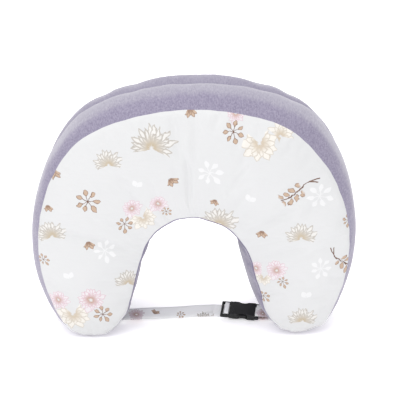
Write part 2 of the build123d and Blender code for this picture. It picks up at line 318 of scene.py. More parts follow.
def swell_pillow(pillow):
    """Stuff the cover: cloth under pressure, its seams held, then each point's move capped."""
    mesh = pillow.data
    before = [vertex.co.copy() for vertex in mesh.vertices]
    cloth = pillow.modifiers.new("cloth", "CLOTH")
    settings = cloth.settings
    settings.quality = 5
    settings.mass = 0.15
    settings.use_pressure = True
    settings.uniform_pressure_force = 4
    settings.effector_weights.gravity = 0
    settings.tension_stiffness = 15
    settings.compression_stiffness = 15
    settings.bending_stiffness = 1.0
    settings.vertex_group_mass = "seams"
    settings.shrink_min = -0.025
    cloth.collision_settings.use_collision = False
    cloth.collision_settings.use_self_collision = False
    for step in range(1, CLOTH_FRAMES + 1):
        bpy.context.scene.frame_set(step)
    graph = bpy.context.evaluated_depsgraph_get()
    swollen = bpy.data.meshes.new_from_object(pillow.evaluated_get(graph))
    for index, vertex in enumerate(mesh.vertices):
        moved = swollen.vertices[index].co - before[index]
        if moved.length > CLOTH_LIMIT:
            moved *= CLOTH_LIMIT / moved.length
        vertex.co = before[index] + moved
    pillow.modifiers.clear()
    bpy.data.meshes.remove(swollen)
    bpy.context.scene.frame_set(1)


def calm_gusset(pillow):
    """Smooth the gusset between its seams, where velvet shows no small wrinkles."""
    mesh = bmesh.new()
    mesh.from_mesh(pillow.data)
    calm = []
    for vertex in mesh.verts:
        kinds = {face.material_index for face in vertex.link_faces}
        if len(kinds) == 1 and kinds <= {FRONT_STRIP, BACK_STRIP, INNER_GUSSET}:
            calm.append(vertex)
    for _ in range(CALM_ROUNDS):
        bmesh.ops.smooth_vert(mesh, verts=calm, factor=0.5,
                              use_axis_x=True, use_axis_y=True, use_axis_z=True)
    mesh.to_mesh(pillow.data)
    mesh.free()


def press_on_floor(mesh, height):
    """Flatten what would hang below a height."""
    for vertex in mesh.vertices:
        vertex.co.z = max(vertex.co.z, height)


def pucker(piece, depth):
    """Small gathers that run in from a piece's sewn edges and die out."""
    mesh = bmesh.new()
    mesh.from_mesh(piece.data)
    mesh.normal_update()
    edge_points = [vertex for vertex in mesh.verts if vertex.is_boundary]
    tree = kdtree.KDTree(len(edge_points))
    for index, vertex in enumerate(edge_points):
        tree.insert(vertex.co, index)
    tree.balance()
    moves = []
    for vertex in mesh.verts:
        nearest, _, distance = tree.find(vertex.co)
        share = math.exp(-distance / PUCKER_REACH) - math.exp(-distance / PUCKER_START)
        fold = noise.noise(nearest * PUCKER_RATE) + 0.6 * noise.noise(nearest * PUCKER_RATE * 2.3)
        fold += 0.5 * noise.noise(vertex.co * CREASE_RATE)
        moves.append(vertex.normal * (fold * depth * share))
    for vertex, move in zip(mesh.verts, moves):
        vertex.co += move
    mesh.to_mesh(piece.data)
    mesh.free()


def finish_mesh(piece, levels):
    """Apply some levels of subdivision, and smooth shading."""
    if levels:
        modifier = piece.modifiers.new("subdivision", "SUBSURF")
        modifier.levels = levels
        modifier.render_levels = levels
        graph = bpy.context.evaluated_depsgraph_get()
        fine = bpy.data.meshes.new_from_object(piece.evaluated_get(graph))
        piece.modifiers.clear()
        piece.data = fine
    for polygon in piece.data.polygons:
        polygon.use_smooth = True
        polygon.material_index = 0


def mark_arch_seam(piece):
    """Attribute that is 1 on the panel's sewn edge round the arch, where the velvet rolls forward, coloured
    in painted shade.
    """
    mesh = bmesh.new()
    mesh.from_mesh(piece.data)
    layer = mesh.verts.layers.float.new(ARCH_SEAM)
    for vertex in mesh.verts:
        inside_arch = abs(vertex.co.x - ARC_X) < ARCH_SEAM_HALF and vertex.co.z < ARCH_SEAM_TOP
        vertex[layer] = 1.0 if vertex.is_boundary and inside_arch else 0.0
    mesh.to_mesh(piece.data)
    mesh.free()


def cut_piece(pillow, name, kept, inward=0.0, levels=1):
    """One named piece of the swollen pillow: the faces of some kinds, moved in by a layer's depth.

    Near the floor a moved piece is also lifted, so that it stays inside the thin tips of the lobes.
    """
    mesh = bmesh.new()
    mesh.from_mesh(pillow.data)
    mesh.normal_update()
    moves = [vertex.normal * inward for vertex in mesh.verts]
    for vertex, move in zip(mesh.verts, moves):
        vertex.co -= move
        vertex.co.z += 2 * inward * max(0.0, 1 - vertex.co.z / LOBE_LIFT)
    dropped = [face for face in mesh.faces if face.material_index not in kept]
    bmesh.ops.delete(mesh, geom=dropped, context="FACES")
    piece = object_from(mesh, name)
    finish_mesh(piece, levels)
    press_on_floor(piece.data, FLOOR_GAP + inward)
    return piece


# ---------------------------------------------------------------- materials
CLOTH_SHARE = 0.68          # how much of a display colour's light the cloth gives back
STRAP_PAINTED_LIGHT_SHARE = 0.97          # the same for the strap, raised as painted light against the lobes' shade it lies in
LINE_WIDTH = 0.045          # of a drawn outline, as a share of the motif's size
MOTIF_REACH = 1.15          # how far out a motif may be drawn, as a share of its size
COTTON_THREADS = 420.0      # rate of the weave
COTTON_CREASES = (14.0, 14.0, 60.0)
PILE_STREAKS = (420.0, 110.0, 420.0)
BRUSH_STREAKS = (150.0, 12.0, 150.0)
SHADE_BAND_FULL = 0.022           # the velvet's band of painted shade: full up to here behind the front seam
SHADE_BAND_END = 0.040            # and gone here
SHADE_BAND_WANDER = 0.022


def srgb(red, green, blue):
    """Linear colour from 0-255 display values."""
    result = []
    for value in (red, green, blue):
        share = value / 255
        result.append(share / 12.92 if share <= 0.04045 else ((share + 0.055) / 1.055) ** 2.4)
    return (*result, 1.0)


def scaled(colour, factor):
    """Colour with its light multiplied."""
    return (*(min(channel * factor, 1.0) for channel in colour[:3]), 1.0)


def dyed(red, green, blue, share=CLOTH_SHARE):
    """Colour of a cloth that should look like these display values under the studio light."""
    return scaled(srgb(red, green, blue), share)


VELVET_DARK = dyed(152, 147, 166)
VELVET_LIGHT = dyed(190, 186, 201)
VELVET_MID = dyed(172, 168, 184)
# painted shade: the darker band beside the velvet's front seam, also used for shaded velvet
VELVET_PAINTED_SHADE_DEEP = dyed(124, 116, 146)
VELVET_PAINTED_SHADE_PALE = dyed(168, 161, 184)
BUCKLE_BLACK = (0.004, 0.004, 0.0045, 1.0)
BUCKLE_GREY = (0.010, 0.010, 0.01075, 1.0)
# Colours of the print: PALE alone, the others as (line, fill, core).
PALE = dyed(244, 244, 245)
LOTUS = (dyed(184, 176, 166), dyed(242, 240, 237), dyed(204, 187, 160))
CREAM = (dyed(196, 182, 164), dyed(247, 243, 236), dyed(214, 198, 176))
PEONY = (dyed(224, 178, 194), dyed(241, 236, 239), dyed(198, 164, 142))
BROWN = (dyed(122, 90, 74), dyed(208, 182, 160), dyed(146, 112, 92))


class Graph:
    """Short calls for building one node tree."""

    def __init__(self, tree):
        self.tree = tree

    def node(self, kind, **values):
        made = self.tree.nodes.new(kind)
        for key, value in values.items():
            setattr(made, key, value)
        return made

    def feed(self, socket, value):
        if isinstance(value, bpy.types.NodeSocket):
            self.tree.links.new(value, socket)
        else:
            socket.default_value = value

    def math(self, operation, first, second=0.0, clamp=False):
        made = self.node("ShaderNodeMath", operation=operation, use_clamp=clamp)
        self.feed(made.inputs[0], first)
        self.feed(made.inputs[1], second)
        return made.outputs[0]

    def plus(self, first, second):
        return self.math("ADD", first, second)

    def minus(self, first, second):
        return self.math("SUBTRACT", first, second)

    def times(self, first, second):
        return self.math("MULTIPLY", first, second)

    def step(self, value, low, high):
        """0 below low, 1 above high, smooth between; low may be above high."""
        made = self.node("ShaderNodeMapRange", interpolation_type="SMOOTHSTEP")
        self.feed(made.inputs["Value"], value)
        flip = low > high
        made.inputs["From Min"].default_value = high if flip else low
        made.inputs["From Max"].default_value = low if flip else high
        made.inputs["To Min"].default_value = 1.0 if flip else 0.0
        made.inputs["To Max"].default_value = 0.0 if flip else 1.0
        return made.outputs["Result"]

    def mix(self, share, first, second):
        made = self.node("ShaderNodeMix", data_type="RGBA")
        self.feed(made.inputs[0], share)
        self.feed(made.inputs[6], first)
        self.feed(made.inputs[7], second)
        return made.outputs[2]

    def nearer(self, first, second):
        """The second vector where it is within its own motif, else the first."""
        length = self.node("ShaderNodeVectorMath", operation="LENGTH")
        self.feed(length.inputs[0], second)
        inside = self.math("LESS_THAN", length.outputs["Value"], MOTIF_REACH)
        made = self.node("ShaderNodeMix", data_type="VECTOR")
        self.feed(made.inputs[0], inside)
        self.feed(made.inputs[4], first)
        self.feed(made.inputs[5], second)
        return made.outputs[1]

    def noise(self, vector, scale, detail=3.0, roughness=0.6):
        made = self.node("ShaderNodeTexNoise")
        self.feed(made.inputs["Vector"], vector)
        made.inputs["Scale"].default_value = scale
        made.inputs["Detail"].default_value = detail
        made.inputs["Roughness"].default_value = roughness
        return made.outputs["Fac"]

    def wave(self, vector, scale, direction, distortion):
        made = self.node("ShaderNodeTexWave", bands_direction=direction)
        self.feed(made.inputs["Vector"], vector)
        made.inputs["Scale"].default_value = scale
        made.inputs["Distortion"].default_value = distortion
        return made.outputs["Fac"]

    def weave(self, vector, scale, distortion):
        """Height of crossing threads."""
        warp = self.wave(vector, scale, "X", distortion)
        return self.plus(warp, self.wave(vector, scale, "Z", distortion))

    def split(self, vector):
        """The X, Y and Z of a vector, by name."""
        made = self.node("ShaderNodeSeparateXYZ")
        self.feed(made.inputs[0], vector)
        return made.outputs

    def stretched(self, vector, rates):
        """Coordinates with their own rate along each axis, for streaks and creases."""
        made = self.node("ShaderNodeMapping", vector_type="POINT")
        self.feed(made.inputs["Vector"], vector)
        made.inputs["Scale"].default_value = rates
        return made.outputs["Vector"]

    def placed(self, vector, location, turn, size):
        """Coordinates in the frame of a motif that is moved, turned and sized."""
        made = self.node("ShaderNodeMapping", vector_type="TEXTURE")
        self.feed(made.inputs["Vector"], vector)
        made.inputs["Location"].default_value = location
        made.inputs["Rotation"].default_value = turn
        made.inputs["Scale"].default_value = size
        return made.outputs["Vector"]

    def bump(self, height, strength, distance, normal=None):
        made = self.node("ShaderNodeBump")
        made.inputs["Strength"].default_value = strength
        made.inputs["Distance"].default_value = distance
        self.feed(made.inputs["Height"], height)
        if normal is not None:
            self.feed(made.inputs["Normal"], normal)
        return made.outputs["Normal"]


def new_material(name, roughness):
    """Material with a Principled shader, its graph and the object coordinate."""
    material = bpy.data.materials.new(name)
    material.use_nodes = True
    graph = Graph(material.node_tree)
    shader = material.node_tree.nodes["Principled BSDF"]
    shader.inputs["Roughness"].default_value = roughness
    shader.inputs["Specular IOR Level"].default_value = 0.35
    place = graph.node("ShaderNodeTexCoord").outputs["Object"]
    return material, graph, shader, place


def motif_group(name):
    """Empty node group for one kind of printed motif, with its graph, ends and local coordinates."""
    group = bpy.data.node_groups.new(name, "ShaderNodeTree")
    group.interface.new_socket("Local", in_out="INPUT", socket_type="NodeSocketVector")
    group.interface.new_socket("Place", in_out="INPUT", socket_type="NodeSocketVector")
    group.interface.new_socket("Color", in_out="OUTPUT", socket_type="NodeSocketColor")
    group.interface.new_socket("Mask", in_out="OUTPUT", socket_type="NodeSocketFloat")
    graph = Graph(group)
    entry = graph.node("NodeGroupInput")
    leave = graph.node("NodeGroupOutput")
    local = graph.split(entry.outputs["Local"])
    rough = graph.minus(graph.noise(entry.outputs["Place"], 110.0, 2.0), 0.5)
    x = graph.plus(local["X"], graph.times(rough, 0.35))
    z = graph.minus(local["Z"], graph.times(rough, 0.2))
    return group, graph, leave, x, z


def petal_family(name, petals, layers, wide, colours,
                 fan=math.pi, base=0.0, start=0.0, tip=1.0, ink=0.8, stem=False):
    """Node group for a drawn flower or leaf cluster.

    Petals fan out from a point at height base, up to the angle fan each way from straight up. Each
    layer is (scale, turn) and is drawn over the one before. Petals begin at start, are wide across
    and their tips get fuller as tip grows; ink is the strength of the lines. Colours are (line, fill,
    core).
    """
    line, fill, core = colours
    group, graph, leave, x, z = motif_group(name)
    rise = graph.minus(z, base)
    radius = graph.math("SQRT", graph.plus(graph.times(x, x), graph.times(rise, rise)))
    radius = graph.math("DIVIDE", radius, 1.0 - base)
    angle = graph.math("ARCTAN2", x, rise)
    turns = graph.times(angle, petals / math.tau)
    wash = graph.mix(graph.step(radius, 0.05, 0.55), core, fill)
    colour = wash
    mask = None
    for scale, offset in layers:
        turn = graph.plus(turns, offset)
        chance = graph.node("ShaderNodeTexWhiteNoise", noise_dimensions="1D")
        graph.feed(chance.inputs["W"], graph.plus(graph.math("FLOOR", turn), scale * 10))
        uneven = graph.plus(graph.times(chance.outputs["Value"], 0.35 * scale), 0.95 * scale)
        reach = graph.times(radius, uneven)
        across = graph.math("ABSOLUTE", graph.minus(graph.math("FRACT", turn), 0.5))
        along = graph.math("DIVIDE", graph.minus(reach, start), 1.0 - start, clamp=True)
        bow = graph.math("SINE", graph.times(graph.math("POWER", along, tip), math.pi))
        edge = graph.minus(graph.times(bow, wide), across)
        depth = graph.times(graph.times(edge, radius), math.tau / petals)
        inside = graph.step(depth, 0.0, 0.012)
        drawn = graph.times(graph.step(depth, LINE_WIDTH * 1.6, LINE_WIDTH * 0.6), inside)
        colour = graph.mix(inside, colour, wash)
        drawn = graph.times(drawn, graph.step(radius, 0.05, 0.5))
        colour = graph.mix(graph.times(drawn, ink), colour, line)
        mask = inside if mask is None else graph.math("MAXIMUM", mask, inside)
    if stem:
        thin = graph.times(graph.times(across, radius), math.tau / petals)
        stalk = graph.times(graph.step(thin, 0.03, 0.015), graph.step(radius, start + 0.1, start + 0.05))
        colour = graph.mix(stalk, colour, line)
        mask = graph.math("MAXIMUM", mask, stalk)
    if fan < math.pi:
        spread = graph.math("ABSOLUTE", angle)
        mask = graph.times(mask, graph.step(spread, fan + 0.05, fan))
    graph.feed(leave.inputs["Color"], colour)
    graph.feed(leave.inputs["Mask"], mask)
    return group


def twig_family(name, colours):
    """Node group for a twig along the local X axis: bare stem on one side, oval leaves on the other."""
    line, fill = colours
    group, graph, leave, x, z = motif_group(name)
    bend = graph.times(graph.math("SINE", graph.times(x, 3.0)), 0.10)
    off = graph.minus(z, bend)
    height = graph.math("ABSOLUTE", off)
    slant = graph.minus(x, graph.times(height, 0.5))
    cell = graph.minus(graph.math("FRACT", graph.times(slant, 3.2)), 0.5)
    wide = graph.math("DIVIDE", cell, 3.2 * 0.115)
    tall = graph.math("DIVIDE", graph.minus(height, 0.20), 0.15)
    oval = graph.plus(graph.times(wide, wide), graph.times(tall, tall))
    leafy = graph.times(graph.step(x, -0.15, -0.05), graph.step(x, 0.95, 0.85))
    in_leaf = graph.times(graph.step(oval, 1.0, 0.8), leafy)
    fork = graph.math("ABSOLUTE", graph.minus(off, graph.times(graph.plus(x, 0.55), -0.55)))
    side_stem = graph.times(graph.step(fork, 0.04, 0.02), graph.step(x, -0.5, -0.55))
    stem = graph.times(graph.step(height, 0.035, 0.018),
                      graph.times(graph.step(x, -0.98, -0.95), graph.step(x, 0.9, 0.85)))
    stem = graph.math("MAXIMUM", stem, graph.times(side_stem, graph.step(x, -0.9, -0.85)))
    colour = graph.mix(graph.step(oval, 0.95, 0.35), line, fill)
    colour = graph.mix(stem, colour, line)
    graph.feed(leave.inputs["Color"], colour)
    graph.feed(leave.inputs["Mask"], graph.math("MAXIMUM", in_leaf, stem))
    return group


FAMILIES = {
    "pale": petal_family("pale", 7, [(1.0, 0.0)], 0.30, (PALE, PALE, PALE), start=0.30, stem=True),
    "heart": petal_family("heart", 6, [(1.0, 0.0)], 0.55, (PALE, PALE, PALE), fan=1.05, base=-0.6),
    "cream": petal_family("cream", 9, [(1.0, 0.0), (1.3, 0.5), (1.9, 0.2)], 0.55, CREAM,
                          fan=2.4, base=-0.3, ink=0.6),
    "lotus": petal_family("lotus", 13, [(1.0, 0.0), (1.2, 0.5), (1.6, 0.25)], 0.52, LOTUS,
                          fan=1.9, base=-0.45, tip=0.8),
    "peony": petal_family("peony", 12, [(1.0, 0.0), (1.2, 0.5), (1.6, 0.2), (2.4, 0.6)], 0.52, PEONY,
                          tip=1.4),
    "leaves": petal_family("leaves", 7, [(1.0, 0.0)], 0.32, BROWN, start=0.35, stem=True),
    "bud": petal_family("bud", 9, [(1.0, 0.0), (1.3, 0.5)], 0.48, BROWN, fan=0.8, base=-0.7),
    "twig": twig_family("twig", BROWN[:2]),
}
# Printed motifs of each family as (x from the middle, z, size, turn in degrees), in millimetres.
FRONT_PRINT = {
    "pale": [(25, 292, 24, 10), (-140, 159, 21, 40), (198, 249, 24, -20), (203, 127, 21, 70)],
    "heart": [(-87, 273, 10, 10), (-198, 118, 10, -15), (89, 246, 10, 20), (181, 79, 10, 0)],
    "lotus": [(-62, 346, 30, 8), (-132, 315, 20, -5), (-225, 193, 22, -10), (-103, 106, 20, 10),
              (41, 209, 27, 0), (170, 189, 22, 0), (176, 40, 21, 0)],
    "cream": [(131, 352, 21, -35), (104, 330, 26, 170), (-76, 208, 20, 150), (-192, 40, 26, 170),
              (112, 102, 13, 190)],
    "peony": [(-96, 231, 18, 0), (-55, 237, 17, 30), (-216, 71, 20, 15), (-164, 75, 25, 0),
              (66, 382, 17, 0), (101, 121, 15, 20), (132, 122, 20, 0)],
    "leaves": [(-165, 246, 23, 15), (-108, 203, 16, 50), (-146, 48, 18, 20), (62, 356, 20, 40),
               (-42, 222, 10, 0), (143, 101, 11, 30), (-238, 142, 12, 10), (246, 202, 12, 60),
               (114, 71, 11, 0)],
    "bud": [(-33, 277, 12, 140), (-165, 170, 11, 170), (108, 184, 11, 180), (33, 240, 9, 200),
            (-227, 231, 9, 170), (-216, 286, 12, 150), (-4, 385, 11, 170)],
    "twig": [(165, 261, 36, 152), (236, 135, 32, 55)],
}
# The strap's print, in its own flat layout: x along the strap from the left lobe.
STRAP_PRINT = {
    "peony": [(-98, 1, 16, 0), (112, -2, 13, 0), (134, 2, 13, 30)],
    "leaves": [(-24, 5, 9, 20), (30, -9, 9, 0)],
    "bud": [(-45, -9, 9, 160), (-66, 8, 9, 20)],
    "lotus": [(17, 0, 17, 0)],
}


def printed_cotton(name, motifs, origin_x=0.0, share=CLOTH_SHARE, flat_y=None):
    """Plain-weave cotton with the floral print laid out in the X-Z plane.

    With flat_y the print is laid out in the X-Y plane instead, about that Y, as on the flat strap. The
    sewn edge round the arch takes the colour of the velvet that rolls forward over it, in painted shade.
    """
    material, graph, shader, place = new_material(name, 0.85)
    if flat_y is not None:
        parts = graph.split(place)
        flat = graph.node("ShaderNodeCombineXYZ")
        graph.feed(flat.inputs["X"], parts["X"])
        graph.feed(flat.inputs["Z"], graph.minus(parts["Y"], flat_y))
        place = flat.outputs[0]
    mottle = graph.noise(place, 9.0, 3.0)
    colour = graph.mix(mottle, dyed(228, 229, 230, share), dyed(235, 235, 236, share))
    for family, drawing in FAMILIES.items():
        local = None
        for x, z, size, turn in motifs.get(family, []):
            scale = size / 1000
            location = (origin_x + x / 1000, 0.0, z / 1000)
            near = graph.placed(place, location, (0.0, math.radians(turn), 0.0), (scale, 1.0, scale))
            local = near if local is None else graph.nearer(local, near)
        if local is not None:
            motif = graph.node("ShaderNodeGroup", node_tree=drawing)
            graph.feed(motif.inputs["Local"], local)
            graph.feed(motif.inputs["Place"], place)
            colour = graph.mix(motif.outputs["Mask"], colour, motif.outputs["Color"])
    # the sewn edge round the arch takes the velvet's colour in its darkest painted shade
    rolled = graph.node("ShaderNodeAttribute", attribute_name=ARCH_SEAM)
    colour = graph.mix(graph.step(rolled.outputs["Fac"], 0.35, 0.75), colour, VELVET_PAINTED_SHADE_DEEP)
    graph.feed(shader.inputs["Base Color"], colour)
    shader.inputs["Sheen Weight"].default_value = 0.12
    threads = graph.weave(place, COTTON_THREADS, 0.6)
    creases = graph.noise(graph.stretched(place, COTTON_CREASES), 1.0, 2.0)
    soft = graph.bump(creases, 0.35, 0.003)
    graph.feed(shader.inputs["Normal"], graph.bump(threads, 0.15, 0.0002, soft))
    return material


def velvet(name, shade=0.0):
    """Short-pile velvet: brushed streaks, a band of painted shade beside the front seam, and sheen.

    shade is how much the whole cloth is darkened with painted shade.
    """
    material, graph, shader, place = new_material(name, 0.9)
    pile = graph.noise(graph.stretched(place, PILE_STREAKS), 1.0, 4.0, 0.75)
    pile = graph.step(pile, 0.25, 0.75)
    patches = graph.step(graph.noise(place, 24.0, 4.0), 0.3, 0.7)
    base = graph.mix(pile, VELVET_DARK, VELVET_LIGHT)
    base = graph.mix(graph.times(patches, 0.45), base, VELVET_MID)
    # painted shade: a darker band along the front seam, its edge wandering with the brushed streaks
    brushed = graph.noise(graph.stretched(place, BRUSH_STREAKS), 1.0, 3.0)
    wander = graph.times(graph.minus(brushed, 0.5), SHADE_BAND_WANDER)
    depth = graph.plus(graph.split(place)["Y"], wander)
    shade_band = graph.step(depth, FRONT_Y + SHADE_BAND_END, FRONT_Y + SHADE_BAND_FULL)
    base = graph.mix(graph.times(shade_band, 0.75), base, graph.mix(pile, VELVET_PAINTED_SHADE_DEEP, VELVET_PAINTED_SHADE_PALE))
    # painted shade over the whole cloth, as much as shade says
    base = graph.mix(shade, base, VELVET_PAINTED_SHADE_DEEP)
    graph.feed(shader.inputs["Base Color"], base)
    shader.inputs["Sheen Weight"].default_value = 0.35
    shader.inputs["Sheen Roughness"].default_value = 0.4
    nap = graph.noise(place, 900.0, 2.0)
    soft = graph.bump(graph.noise(place, 60.0, 3.0), 0.2, 0.0012)
    graph.feed(shader.inputs["Normal"], graph.bump(nap, 0.35, 0.0004, soft))
    return material


def plain_cloth(name, colour, scale=300.0):
    """Unprinted cloth with a fine weave and slight mottling, for casing, fibre and zip tapes."""
    material, graph, shader, place = new_material(name, 0.9)
    darker = scaled(colour, 0.86)
    graph.feed(shader.inputs["Base Color"], graph.mix(graph.noise(place, 40.0), darker, colour))
    threads = graph.weave(place, scale, 0.5)
    graph.feed(shader.inputs["Normal"], graph.bump(threads, 0.3, 0.0003))
    return material


def moulded_plastic(name, colour, lighter, roughness):
    """Satin moulded plastic with fine grain and slightly polished patches."""
    material, graph, shader, place = new_material(name, roughness)
    graph.feed(shader.inputs["Base Color"], graph.mix(graph.noise(place, 120.0), colour, lighter))
    worn = graph.noise(place, 70.0, 4.0)
    made = graph.node("ShaderNodeMapRange")
    graph.feed(made.inputs["Value"], worn)
    made.inputs["To Min"].default_value = roughness - 0.08
    made.inputs["To Max"].default_value = roughness + 0.14
    graph.feed(shader.inputs["Roughness"], made.outputs["Result"])
    graph.feed(shader.inputs["Normal"], graph.bump(graph.noise(place, 1500.0, 2.0), 0.12, 0.0002))
    return material


def coil_nylon(name, colour):
    """Nylon coil: teeth across the zip's arc, with painted shade in the gaps between them."""
    material, graph, shader, place = new_material(name, 0.42)
    centred = graph.node("ShaderNodeVectorMath", operation="SUBTRACT")
    graph.feed(centred.inputs[0], place)
    centred.inputs[1].default_value = ZIP_CENTRE
    parts = graph.split(centred.outputs[0])
    angle = graph.math("ARCTAN2", parts["X"], parts["Z"])
    teeth = graph.math("SINE", graph.times(angle, math.tau * ZIP_RADIUS / TOOTH_PITCH))
    # painted shade: the gaps between the teeth are darkened
    darker = scaled(colour, 0.45)
    graph.feed(shader.inputs["Base Color"], graph.mix(graph.step(teeth, -0.8, 0.2), darker, colour))
    graph.feed(shader.inputs["Normal"], graph.bump(teeth, 0.8, 0.0006))
    return material


def painted_metal(name, colour):
    """Painted zinc with small rubbed spots."""
    material, graph, shader, place = new_material(name, 0.35)
    shader.inputs["Metallic"].default_value = 0.3
    bright = scaled(colour, 1.4)
    rubbed = graph.step(graph.noise(place, 500.0, 3.0), 0.62, 0.7)
    graph.feed(shader.inputs["Base Color"], graph.mix(rubbed, colour, bright))
    graph.feed(shader.inputs["Normal"], graph.bump(graph.noise(place, 900.0), 0.1, 0.0002))
    return material


# ---------------------------------------------------------------- strap
# Places with two values or a plain X are in the buckle's own frame: X along it, Z up from its middle.
PRONG_ROOT_X = -0.010
LEFT_ANCHOR = Vector((-0.1400, -0.0283, 0.0105))
RIGHT_ANCHOR = Vector((0.1420, -0.0283, 0.0100))
ANCHOR_ROLL = math.radians(12.0)
STRAP_HALF_WIDTH = 0.0135
STRAP_HALF = 0.0006         # half the webbing's thickness
# Cross-section as shares of the half width and of half the thickness.
STRAP_PROFILE = [(-1.0, 0.0), (-0.97, 1.0), (-0.6, 1.08), (0.0, 1.0), (0.6, 1.08), (0.97, 1.0), (1.0, 0.0),
                 (0.97, -1.0), (0.6, -1.08), (0.0, -1.0), (-0.6, -1.08), (-0.97, -1.0)]
BEND_CUT = 0.0012           # how far from a corner the webbing starts to bend
BEND_SHARES = (0.0, 0.33, 0.67, 1.0)
LOOP_START = -0.044         # where the loop through the adjuster begins and ends
LOOP_RIGHT = -0.0192        # the loop's two upright parts, either side of the bar
LOOP_LEFT = -0.0258
LOOP_HIGH = 0.0033
MAIN_LOW = -0.0055          # heights of the main run and of the tail at the adjuster
TAIL_LOW = -0.0036
SHORT_START = 0.040
SHORT_LEFT = 0.0270
RUN_LIFT = 0.0009           # half the gap between two layers of webbing at a lobe
RUN_SWAY = 0.0006
SWAY_TURN = 9.0
MAIN_STEPS = 40
TAIL_STEPS = 60
SHORT_STEPS = 12
TAIL_START = 0.12           # where the tail's loose end lies, as a share of the way to the adjuster
TAIL_FOLD = 0.75            # how much of its front half is turned under beside the adjuster
FOLD_PLACE = 0.008
FOLD_REACH = 0.014


def buckle_frame():
    """Matrix from the buckle's own frame to the row frame, from the joints' axes and places."""
    along = -Vector(JOINTS["buckle_release"]["axis"])
    up = Vector(JOINTS["prong_front_press"]["axis"])
    across = up.cross(along)
    roots = Vector(JOINTS["prong_front_press"]["pos_m"]) + Vector(JOINTS["prong_rear_press"]["pos_m"])
    centre = roots / 2 - along * PRONG_ROOT_X
    matrix = Matrix((along, across, up)).transposed().to_4x4()
    matrix.translation = centre
    return matrix


def webbing(name, stations):
    """Band of webbing through stations of (centre, across, normal, fold), with soft edges.

    fold is how much of the front half's width is turned under.
    """
    mesh = bmesh.new()
    rings = []
    for centre, across, normal, fold in stations:
        ring = []
        for side, height in STRAP_PROFILE:
            side *= 1 - fold if side < 0 else 1
            place = centre + across * (side * STRAP_HALF_WIDTH) + normal * (height * STRAP_HALF)
            ring.append(mesh.verts.new(place))
        rings.append(ring)
    for first, second in zip(rings, rings[1:]):
        for index in range(len(STRAP_PROFILE)):
            after = (index + 1) % len(STRAP_PROFILE)
            mesh.faces.new((first[index], first[after], second[after], second[index]))
    mesh.faces.new(rings[0][::-1])
    mesh.faces.new(rings[-1])
    bmesh.ops.recalc_face_normals(mesh, faces=mesh.faces)
    piece = object_from(mesh, name)
    for polygon in piece.data.polygons:
        polygon.use_smooth = True
    return piece


def loop_stations(matrix, path):
    """Stations along a path of (x, z) in the buckle's frame, rounded at its corners."""
    points = [Vector((x, z)) for x, z in path]
    across = matrix.to_3x3() @ Vector((0, 1, 0))
    result = []
    rounded = []
    for index, point in enumerate(points):
        if index in (0, len(points) - 1):
            rounded.append(point)
            continue
        before = points[index - 1] - point
        after = points[index + 1] - point
        cut = min(BEND_CUT, before.length / 2.2, after.length / 2.2)
        a = point + before.normalized() * cut
        b = point + after.normalized() * cut
        for share in BEND_SHARES:
            rounded.append(a.lerp(point, share).lerp(point.lerp(b, share), share))
    for index, point in enumerate(rounded):
        before = rounded[max(index - 1, 0)]
        after = rounded[min(index + 1, len(rounded) - 1)]
        along = (after - before).normalized()
        normal = matrix.to_3x3() @ Vector((-along.y, 0, along.x))
        result.append((matrix @ Vector((point.x, 0, point.y)), across, normal, 0.0))
    return result


def run_stations(matrix, start, end, end_lift, count, sway, fold=0.0):
    """Stations of a run from an end on the lobe to a place in the buckle's frame."""
    anchor_across = Vector((0, math.cos(ANCHOR_ROLL), math.sin(ANCHOR_ROLL)))
    anchor_normal = Vector((0, -math.sin(ANCHOR_ROLL), math.cos(ANCHOR_ROLL)))
    goal = matrix @ Vector((end[0], 0, end[1]))
    goal_across = matrix.to_3x3() @ Vector((0, 1, 0))
    goal_normal = matrix.to_3x3() @ Vector((0, 0, 1))
    begin = start + anchor_normal * end_lift
    result = []
    for step in range(count + 1):
        share = step / count
        across = anchor_across.lerp(goal_across, share).normalized()
        normal = anchor_normal.lerp(goal_normal, share).normalized()
        rise = sway * math.sin(share * math.pi) * math.sin(share * SWAY_TURN)
        centre = begin.lerp(goal, share) + normal * rise
        turned = fold * math.exp(-(((centre - goal).length - FOLD_PLACE) / FOLD_REACH) ** 2)
        result.append((centre, across, normal, turned))
    return result


def build_strap_long(matrix):
    """Main run, loop through the adjuster and returned tail, as one length of webbing."""
    path = [(LOOP_START, MAIN_LOW), (LOOP_RIGHT, MAIN_LOW), (LOOP_RIGHT, LOOP_HIGH), (LOOP_LEFT, LOOP_HIGH),
            (LOOP_LEFT, TAIL_LOW), (LOOP_START, TAIL_LOW)]
    loop = loop_stations(matrix, path)
    main = run_stations(matrix, LEFT_ANCHOR, path[0], -RUN_LIFT, MAIN_STEPS, RUN_SWAY)
    tail_end = LEFT_ANCHOR.lerp(matrix @ Vector((LOOP_START, 0, 0)), TAIL_START)
    tail = run_stations(matrix, tail_end, path[-1], RUN_LIFT, TAIL_STEPS, RUN_SWAY, TAIL_FOLD)
    return webbing("strap_long", main[:-1] + loop + tail[-2::-1])


def build_strap_short(matrix):
    """Short doubled strap round the socket's bar, both ends in the right lobe's seam."""
    path = [(SHORT_START, LOOP_HIGH), (SHORT_LEFT, LOOP_HIGH),
            (SHORT_LEFT, -LOOP_HIGH), (SHORT_START, -LOOP_HIGH)]
    loop = loop_stations(matrix, path)
    upper = run_stations(matrix, RIGHT_ANCHOR, path[0], RUN_LIFT, SHORT_STEPS, 0.0)
    lower = run_stations(matrix, RIGHT_ANCHOR, path[-1], -RUN_LIFT, SHORT_STEPS, 0.0)
    return webbing("strap_short", upper[:-1] + loop + lower[-2::-1])


# ---------------------------------------------------------------- build
pillow = build_pillow()
swell_pillow(pillow)
calm_gusset(pillow)

